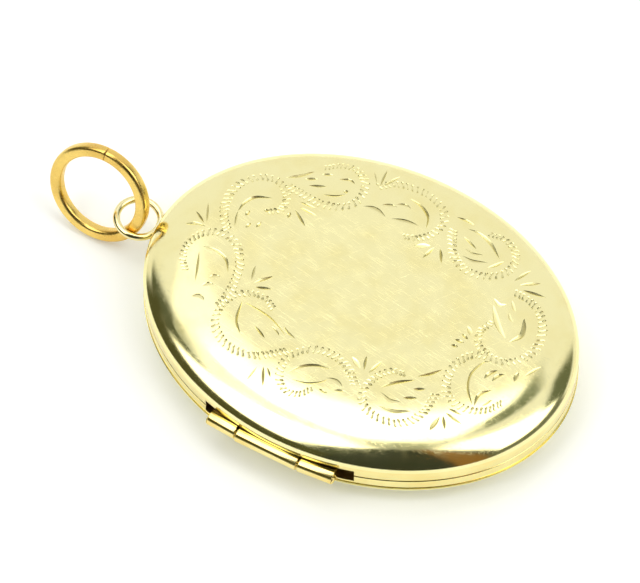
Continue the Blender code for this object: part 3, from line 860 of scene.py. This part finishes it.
def shade_the_seat(bm):
    """Paint shade on the walls of the hinge's seat: mark them as a deep valley, which darkens their gold."""
    valley = bm.faces.layers.float.new("valley")
    for face in bm.faces:
        spot = face.calc_center_median()
        inset, _ = edge_frame(spot.x, spot.y)
        inside = (abs(spot.z - PARTING) < NOTCH_HALF_HEIGHT + 0.01 and 0.1 < inset < NOTCH_INSETS[1] + 0.02
                  and NOTCH_ENDS[0] - 0.2 < spot.y < NOTCH_ENDS[1] + 0.2 and spot.x < 0.0)
        face[valley] = SEAT_SHADE_DEPTH if inside else 0.0


for name, node, body in (("front_band", "front_rim", "front_half"), ("back_band", "back_rim", "back_half")):
    low, high = node_box(node)
    section = rounded_section((RIM_SETBACK, low.z), (RIM_SETBACK + RIM_THICKNESS, high.z), BAND_CORNER)
    bm = combine(sweep_oval(section, closed=True), band_slice(NOTCH_INSETS, NOTCH_ENDS, NOTCH_HEIGHTS),
                 "DIFFERENCE")
    if body == "front_half":
        bm = combine(bm, pip_ball(PIP_RADIUS + DIMPLE_GAP), "DIFFERENCE")
    shade_the_seat(bm)
    finish_piece(bm, name, BAND_GOLD, body, [node])

# %% [markdown]
# ## The hinge
# Three short lengths of drawn tube sit in the seat, two soldered to the back band and the middle one to
# the front band, and a pin runs through them. Each tube is a rectangle of wall spun about the hinge line.
# Its ends are bevelled, and a leaf of solder joins it to the wall of the seat. The pin is straight but
# the case is not, so the outsides of the two end tubes drift inwards to follow the oval, while their
# bores stay on the line.

# %% The knuckles
KNUCKLE_RADIUS = 0.575
BORE_RADIUS = 0.23
KNUCKLE_EDGE = 0.06
LEAF_INSETS = (-0.20, 0.57)
LEAF_HEIGHTS = (0.05, 0.50)
LEAF_END = 0.10
# Each knuckle is its node, its body, the side its leaf is on and how far its two ends drift inwards.
KNUCKLES = (
    ("hinge_knuckle_upper", "back_half", -1, (0.12, 0.26)),
    ("hinge_knuckle_middle", "front_half", 1, (0.0, 0.0)),
    ("hinge_knuckle_lower", "back_half", -1, (0.26, 0.0)),
)
along_hinge = Vector((0.0, 1.0, 0.0))


def turned(profile, steps, closed):
    """Spin a profile of (radius, distance along the hinge) points about the hinge line."""
    bm = bmesh.new()
    verts = [bm.verts.new((hinge_axis.x + radius, y, PARTING)) for radius, y in profile]
    edges = [bm.edges.new(pair) for pair in zip(verts, verts[1:] + verts[:1])]
    if not closed:
        bm.edges.remove(edges.pop())
    bmesh.ops.spin(bm, geom=verts + edges, cent=hinge_axis, axis=along_hinge, angle=2.0 * math.pi,
                   steps=steps, use_merge=True)
    bmesh.ops.remove_doubles(bm, verts=bm.verts, dist=1e-4)
    bmesh.ops.recalc_face_normals(bm, faces=bm.faces)
    return bm


for node, body, side, drift in KNUCKLES:
    low, high = node_box(node)
    bm = turned(rounded_section((BORE_RADIUS, low.y), (KNUCKLE_RADIUS, high.y), KNUCKLE_EDGE), 72,
                closed=True)
    for vert in bm.verts:
        radius = math.hypot(vert.co.x - hinge_axis.x, vert.co.z - PARTING)
        share = (vert.co.y - low.y) / (high.y - low.y)
        outwards = (radius - BORE_RADIUS) / (KNUCKLE_RADIUS - BORE_RADIUS)
        vert.co.x += outwards * (drift[0] + (drift[1] - drift[0]) * share)
    levels = sorted(PARTING + height * side for height in LEAF_HEIGHTS)
    leaf = band_slice(LEAF_INSETS, (low.y + LEAF_END, high.y - LEAF_END), levels)
    bore = turned([(0.0, low.y - 1.0), (BORE_RADIUS, low.y - 1.0), (BORE_RADIUS, high.y + 1.0),
                   (0.0, high.y + 1.0)], 72, closed=False)
    bm = combine(bm, combine(leaf, bore, "DIFFERENCE"), "UNION")
    finish_piece(bm, node.replace("hinge_knuckle", "rolled_knuckle"), HINGE_GOLD, body, [node])

# %% [markdown]
# The pin is turned in one go, from the middle of one head to the middle of the other. Its heads are low
# domes, as they become when the ends of a wire are peened over.

# %% The hinge pin
PIN_RADIUS = 0.20
pin_low, pin_high = node_box("hinge_pin")
HEAD_RADIUS = (pin_high.z - pin_low.z) / 2.0
HEAD_HEIGHT = 0.12
head = [(HEAD_RADIUS * math.sin(turn), HEAD_HEIGHT * (1.0 - math.cos(turn)))
        for turn in (math.radians(10.0 * i) for i in range(10))]
pin_profile = [(radius, pin_low.y + rise) for radius, rise in head]
pin_profile += [(PIN_RADIUS, pin_low.y + HEAD_HEIGHT), (PIN_RADIUS, pin_high.y - HEAD_HEIGHT)]
pin_profile += [(radius, pin_high.y - rise) for radius, rise in reversed(head)]
bm = turned(pin_profile, 48, closed=False)
finish_piece(bm, "peened_pin", HINGE_GOLD, "back_half", ["hinge_pin"])

# %% [markdown]
# ## Eyelet and bail ring
# The eyelet is a closed loop of round wire, lying almost flat on top of the back band. A circle spun
# about the middle of the loop makes it. A little puddle of solder creeps up between it and the band.

# %% The eyelet and its solder
EYELET_WIRE = 0.28
# The drawn wire is this much thinner than the solid's. With the full radius it touches the ring at the low
# end of its swing.
WIRE_SHAVE = 0.01
SOLDER_GAP = 0.01
EYELET_TIP = math.radians(6.5)
eyelet_low, eyelet_high = node_box("eyelet")
eyelet_centre = (eyelet_low + eyelet_high) / 2.0
EYELET_RADIUS = (eyelet_high.x - eyelet_low.x) / 2.0 - EYELET_WIRE


def wire_loop(radius):
    """The eyelet's wire, with a chosen wire radius."""
    bm = bmesh.new()
    stand = Matrix.Translation((EYELET_RADIUS, 0.0, 0.0)) @ Matrix.Rotation(math.pi / 2.0, 4, "X")
    circle = bmesh.ops.create_circle(bm, segments=28, radius=radius, matrix=stand)["verts"]
    bmesh.ops.spin(bm, geom=circle + list(bm.edges), cent=(0.0, 0.0, 0.0), axis=(0.0, 0.0, 1.0),
                   angle=2.0 * math.pi, steps=96, use_merge=True)
    place = Matrix.Translation(eyelet_centre) @ Matrix.Rotation(EYELET_TIP, 4, "X")
    bmesh.ops.transform(bm, matrix=place, verts=bm.verts)
    bmesh.ops.recalc_face_normals(bm, faces=bm.faces)
    return bm


finish_piece(wire_loop(EYELET_WIRE - WIRE_SHAVE), "wire_eyelet", EYELET_GOLD, "back_half", ["eyelet"])

solder_low, solder_high = node_box("eyelet_solder")
bm = bmesh.new()
bmesh.ops.create_cube(bm, size=2.0)
bmesh.ops.subdivide_edges(bm, edges=bm.edges, cuts=9, use_grid_fill=True)
solder_middle = (solder_low + solder_high) / 2.0
solder_half = (solder_high - solder_low) / 2.0
for vert in bm.verts:
    across, rise, up = vert.co
    swell = max(1.0 - 0.75 * across * across, 0.0) * max(1.0 - 0.5 * up * up, 0.0)
    x = solder_middle.x + solder_half.x * across
    band = (HALF_HEIGHT - RIM_SETBACK) * math.sqrt(1.0 - (x / (HALF_WIDTH - RIM_SETBACK)) ** 2)
    height = 2.0 * solder_half.y * swell * (rise + 1.0) / 2.0
    vert.co = (x, band + SOLDER_GAP + height, solder_middle.z + solder_half.z * up * 0.9)
bm = combine(bm, wire_loop(EYELET_WIRE + SOLDER_GAP), "DIFFERENCE")
finish_piece(bm, "solder_foot", EYELET_GOLD, "back_half", ["eyelet_solder"])

# %% [markdown]
# The bail ring is bent from flattened wire. Its section is a rectangle with round corners, spun almost
# all the way: the two ends meet in a fine butt seam, which is never quite closed. The ring leans a little
# as it stands on its edge, threaded through the eyelet.

# %% The bail ring
RING_INSIDE = 3.08
RING_OUTSIDE = 4.00
RING_WIDTH = 0.92
# The solid's corners are rounded by 0.25. They are rounder here for the same reason as the thinner wire.
RING_CORNER = 0.30
RING_LEAN = math.radians(19.0)
SEAM = 0.05
ring_low, ring_high = node_box("bail_ring")
ring_centre = (ring_low + ring_high) / 2.0
seam_angle = SEAM / RING_OUTSIDE
section = rounded_section((RING_INSIDE, -RING_WIDTH / 2.0), (RING_OUTSIDE, RING_WIDTH / 2.0),
                          RING_CORNER, 6)
bm = bmesh.new()
verts = [bm.verts.new((radius, 0.0, z)) for radius, z in section]
end = bm.faces.new(verts)
bmesh.ops.rotate(bm, verts=verts, cent=(0.0, 0.0, 0.0), matrix=Matrix.Rotation(seam_angle / 2.0, 3, "Z"))
bmesh.ops.spin(bm, geom=[end] + list(end.edges) + verts, cent=(0.0, 0.0, 0.0), axis=(0.0, 0.0, 1.0),
               angle=2.0 * math.pi - seam_angle, steps=180)
bmesh.ops.recalc_face_normals(bm, faces=bm.faces)
caps = [edge for face in bm.faces if len(face.verts) > 4 for edge in face.edges]
bmesh.ops.bevel(bm, geom=caps, offset=0.03, offset_type="OFFSET", segments=2, profile=0.5,
                affect="EDGES", material=-1)
# The spin starts at +X of the flat ring, so its seam comes out on top of the standing one.
stand = Matrix.Rotation(RING_LEAN - math.pi / 2.0, 4, "Y")
bmesh.ops.transform(bm, matrix=Matrix.Translation(ring_centre) @ stand, verts=bm.verts)
finish_piece(bm, "satin_bail_ring", RING_GOLD, "ring", ["bail_ring"])

# %% [markdown]
# ## Inside the case
# A thin lip stands up from the back half, and the front half snaps over it. Its top edge is rounded so
# that it finds its way in, and a small pip on it clicks into a dimple of the front band. A soft ledge on
# the outside, across from the hinge, takes the fingernail.

# %% Snap lip, pip and thumb lip
LIP_THICKNESS = 0.35
lip_low, lip_high = node_box("snap_lip")
lip_inset = HALF_WIDTH - lip_high.x
section = rounded_section((lip_inset, lip_low.z), (lip_inset + LIP_THICKNESS, lip_high.z), 0.09, 3)
finish_piece(sweep_oval(section, closed=True), "closing_lip", INSIDE_GOLD, "back_half", ["snap_lip"])

bm = pip_ball(PIP_RADIUS)
cut = bmesh.ops.bisect_plane(bm, geom=bm.verts[:] + bm.edges[:] + bm.faces[:],
                             plane_co=(pip_low.x, 0.0, 0.0), plane_no=(1.0, 0.0, 0.0), clear_inner=True)
cut_edges = [item for item in cut["geom_cut"] if isinstance(item, bmesh.types.BMEdge)]
bmesh.ops.contextual_create(bm, geom=cut_edges)
finish_piece(bm, "click_pip", INSIDE_GOLD, "back_half", ["snap_pip"])

ledge_low, ledge_high = node_box("thumb_lip")
bm = box_mesh(ledge_low, ledge_high)
outer = [edge for edge in bm.edges if all(vert.co.x > ledge_high.x - 0.01 for vert in edge.verts)
         and abs(edge.verts[0].co.z - edge.verts[1].co.z) > 0.1]
bmesh.ops.bevel(bm, geom=outer, offset=0.33, offset_type="OFFSET", segments=8, profile=0.5,
                affect="EDGES", clamp_overlap=True, material=-1)
soften(bm, 0.07)
finish_piece(bm, "nail_ledge", BAND_GOLD, "front_half", ["thumb_lip"])

# %% [markdown]
# Each half holds a picture. An oval frame with a row of fine beads along its opening presses a clear
# window and a card into the shell. The beads are millgrain: a tiny wheel rolled along the edge. Here the
# height of one loop of the section rises and falls as it goes round, which costs far fewer faces than
# hundreds of little balls.

# %% Frames with a millgrain edge
PICTURE_EDGE = 2.30
GRAINS = 150
BEAD = 0.16


def grain_frame(outside, level, side, height):
    """An oval frame; side +1 has its back above its face, -1 below."""
    bm = bmesh.new()
    turns = bm.verts.layers.float.new("turn")
    steps = 4 * GRAINS
    ring = bmesh.ops.create_circle(bm, segments=steps, radius=1.0)["verts"]
    slope = [(PICTURE_EDGE - BEAD * 0.5 * (1.0 - math.cos(math.pi * i / 6)),
              BEAD * 0.5 * math.sin(math.pi * i / 6)) for i in range(7)]
    face = [(inset, level + side * (0.10 - lift), lift / (BEAD * 0.5)) for inset, lift in slope]
    face += [(PICTURE_EDGE - BEAD - 0.05, level + side * 0.13, 0.0),
             (outside + 0.30, level + side * 0.10, 0.0), (outside + 0.12, level + side * 0.02, 0.0),
             (outside + 0.05, level + side * 0.01, 0.0), (outside, level + side * 0.06, 0.0)]
    section = face + [(outside, level + side * height, 0.0), (PICTURE_EDGE, level + side * height, 0.0)]

    def place(vert, corner):
        inset, z, grain = corner
        wave = abs(math.sin(vert[turns] * GRAINS / 2.0))
        put_on_oval(vert, vert[turns], inset, z + side * 0.06 * grain * (1.0 - wave))

    for vert in ring:
        vert[turns] = math.atan2(vert.co.y, vert.co.x)
        place(vert, section[0])
    edges = list(bm.edges)
    for corner in section[1:] + section[:1]:
        edges, verts = next_loop(bm, edges)
        for vert in verts:
            place(vert, corner)
    bmesh.ops.remove_doubles(bm, verts=bm.verts, dist=1e-4)
    bmesh.ops.recalc_face_normals(bm, faces=bm.faces)
    return bm


for half, side in (("back", -1), ("front", 1)):
    low, high = node_box(half + "_frame")
    level = high.z if side < 0 else low.z
    bm = grain_frame(HALF_WIDTH - high.x, level, side, high.z - low.z)
    finish_piece(bm, half + "_grain_frame", INSIDE_GOLD, half + "_half", [half + "_frame"])

# %% [markdown]
# The window is a clear sheet and the card behind it is plain cream paper, ready for a picture. Paper is
# rough and a little uneven: fine fibres tint it, and the same fibres lift its surface by a hair.

# %% Windows and cards
ACETATE, tree, shader, _ = new_material("acetate_sheet")
shader.inputs["Base Color"].default_value = (0.96, 0.97, 0.96, 1.0)
shader.inputs["Roughness"].default_value = 0.04
shader.inputs["IOR"].default_value = 1.49
shader.inputs["Alpha"].default_value = 0.25

CARD, tree, shader, place = new_material("cream_card")
shader.inputs["Specular IOR Level"].default_value = 0.25
fibre = blend_sum(tree, stretched_noise(tree, place, (9.0, 1.5, 9.0), 20.0, 3.0),
                  stretched_noise(tree, place, (1.5, 8.0, 8.0), -30.0, 3.0), "MULTIPLY")
mix = add_node(tree, "ShaderNodeMix", data_type="RGBA")
mix.inputs["A"].default_value = (0.70, 0.62, 0.47, 1.0)
mix.inputs["B"].default_value = (0.86, 0.80, 0.66, 1.0)
tree.links.new(remap(tree, fibre, 0.12, 0.40, 0.0, 1.0), mix.inputs["Factor"])
tree.links.new(mix.outputs["Result"], shader.inputs["Base Color"])
tree.links.new(remap(tree, fibre, 0.1, 0.4, 0.75, 0.95), shader.inputs["Roughness"])
bump = add_node(tree, "ShaderNodeBump", Strength=0.4, Distance=0.02 * MM)
tree.links.new(fibre, bump.inputs["Height"])
tree.links.new(bump.outputs["Normal"], shader.inputs["Normal"])

for half in ("back", "front"):
    for node, name, material, slot, radius in (("_window", "_clear_window", ACETATE, "acetate", 0.03),
                                               ("_picture", "_blank_card", CARD, "card", 0.02)):
        low, high = node_box(half + node)
        inset = HALF_WIDTH - high.x
        edge = [(inset + radius, low.z), (inset, low.z + radius), (inset, high.z - radius),
                (inset + radius, high.z)]
        finish_piece(sweep_oval(edge, closed=False), half + name, material, half + "_half",
                     [half + node])

# %% [markdown]
# ## The set
# The locket lies on a white sweep under broad, soft light. Polished gold shows nothing but its
# surroundings, so the surroundings matter more than the lamps: white boards that burn out in the polish,
# and between them the greys and browns of a room, which draw the dark lines along the shoulder. A world
# shader can say all that by direction alone, as a list of patches.

# %% The floor
FLOOR_RADIUS = 400.0
FLOOR_DROP = 0.02
FLOOR, tree, shader, place = new_material("white_sweep")
shader.inputs["Base Color"].default_value = (0.93, 0.93, 0.93, 1.0)
shader.inputs["Roughness"].default_value = 0.9
shader.inputs["Emission Color"].default_value = (0.94, 1.0, 0.96, 1.0)
shader.inputs["Emission Strength"].default_value = 0.22
bm = bmesh.new()
bmesh.ops.create_circle(bm, cap_ends=True, segments=64, radius=FLOOR_RADIUS,
                        matrix=Matrix.Translation((0.0, 0.0, -FLOOR_DROP)))
bmesh.ops.recalc_face_normals(bm, faces=bm.faces)
floor = mesh_object(bm, "sweep_floor")
floor.data.transform(Matrix.Diagonal((MM, MM, MM, 1.0)))
floor.data.materials.append(FLOOR)
floor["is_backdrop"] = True

# %% The surroundings by direction
world = bpy.data.worlds.new("soft_studio")
bpy.context.scene.world = world
world.use_nodes = True
tree = world.node_tree
backdrop = tree.nodes["Background"]
direction = add_node(tree, "ShaderNodeTexCoord").outputs["Generated"]
parts = add_node(tree, "ShaderNodeSeparateXYZ")
tree.links.new(direction, parts.inputs["Vector"])


def angle_of(operation, *inputs):
    """An angle in degrees worked out from the direction."""
    made = add_node(tree, "ShaderNodeMath", operation=operation)
    for socket, value in zip(made.inputs, inputs):
        tree.links.new(value, socket)
    degrees = add_node(tree, "ShaderNodeMath", operation="DEGREES")
    tree.links.new(made.outputs["Value"], degrees.inputs[0])
    return degrees.outputs["Value"]


def window(value, low, high, soft):
    """1 between two angles, fading out over a few degrees."""
    rise = remap(tree, value, low - soft, low + soft, 0.0, 1.0)
    return blend_sum(tree, rise, remap(tree, value, high - soft, high + soft, 1.0, 0.0), "MULTIPLY")


azimuth = angle_of("ARCTAN2", parts.outputs["Y"], parts.outputs["X"])
elevation = angle_of("ARCSINE", parts.outputs["Z"])

# Bearing from +X towards +Y, height above the table, softness, and colour: first the white boards that
# burn out in the polish, then the greys and browns of the room between them.
WHITE_BOARD = (2.6, 2.6, 2.5)
BOARDS = [
    (-106, -52, 28, 82, 3, WHITE_BOARD),
    (103, 166, 41, 82, 3, WHITE_BOARD),
    (-12, 72, 63, 84, 3, WHITE_BOARD),
    (-200, -106, -5, 95, 2, (0.045, 0.052, 0.040)),
    (166, 200, 20, 95, 3, (0.08, 0.09, 0.06)),
    (-130, -113, -5, 95, 2, (0.28, 0.15, 0.05)),
    (-113, -54, 2, 30, 5, (0.17, 0.18, 0.14)),
    (-56, -27, 16, 50, 4, (0.14, 0.16, 0.11)),
    (-24, -2, 58, 76, 4, (0.20, 0.23, 0.17)),
    (79, 105, 24, 59, 4, (0.10, 0.11, 0.07)),
    (88, 200, -6, 40, 4, (0.08, 0.08, 0.035)),
    (-200, 200, 85, 95, 1, (0.40, 0.42, 0.38)),
]
surroundings = (0.95, 0.95, 0.95)
for west, east, floor_edge, top_edge, soft, colour in BOARDS:
    mask = blend_sum(tree, window(azimuth, west, east, soft), window(elevation, floor_edge, top_edge, soft),
                     "MULTIPLY")
    mix = add_node(tree, "ShaderNodeMix", data_type="RGBA")
    tree.links.new(mask, mix.inputs["Factor"])
    if isinstance(surroundings, tuple):
        mix.inputs["A"].default_value = (*surroundings, 1.0)
    else:
        tree.links.new(surroundings, mix.inputs["A"])
    mix.inputs["B"].default_value = (*colour, 1.0)
    surroundings = mix.outputs["Result"]
tree.links.new(surroundings, backdrop.inputs["Color"])
backdrop.inputs["Strength"].default_value = 1.0
print(len(BOARDS), "boards and gaps in the surroundings")

# %% Lamps and camera
FLOOR_MIDDLE = Vector((0.0, 0.0, 0.0))


def softbox(name, place, size, watts):
    """A square lamp in millimetres that looks at the locket."""
    data = bpy.data.lights.new(name, "AREA")
    data.shape, data.size, data.energy = "SQUARE", size * MM, watts
    lamp = bpy.data.objects.new(name, data)
    lamp.location = Vector(place) * MM
    lamp.rotation_euler = (FLOOR_MIDDLE - lamp.location).to_track_quat("-Z", "Y").to_euler()
    bpy.context.scene.collection.objects.link(lamp)


softbox("key_box", (60.0, 160.0, 420.0), 260.0, 0.10)

CAMERA_AZIMUTH = math.radians(-60.02)
CAMERA_ELEVATION = math.radians(56.18)
CAMERA_DISTANCE = 620.8
CAMERA_TARGET = Vector((0.649, 3.732, 2.70))
camera_data = bpy.data.cameras.new("studio_camera")
camera_data.sensor_width = 36.0
camera_data.lens = 485.4
camera_data.clip_start = 0.01
camera = bpy.data.objects.new("studio_camera", camera_data)
back = Vector((math.sin(CAMERA_AZIMUTH) * math.cos(CAMERA_ELEVATION),
               -math.cos(CAMERA_AZIMUTH) * math.cos(CAMERA_ELEVATION), math.sin(CAMERA_ELEVATION)))
camera.location = (CAMERA_TARGET + back * CAMERA_DISTANCE) * MM
camera.rotation_euler = back.to_track_quat("Z", "Y").to_euler()
bpy.context.scene.collection.objects.link(camera)
bpy.context.scene.camera = camera
bpy.context.scene.view_settings.view_transform = "Standard"
print("camera at", [round(value, 4) for value in camera.location])

# %% [markdown]
# Before the end, the box of the bare frame and the box of everything made here are printed. They should
# agree to a few hundredths of a millimetre, since no piece is meant to grow past the solid that it stands
# for.

# %% Print the sizes of both boxes
visual_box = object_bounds()
for label, corners_of_box in (("frame", frame_box), ("visual", visual_box)):
    print(label, [[round(value / MM, 2) for value in corner] for corner in corners_of_box])
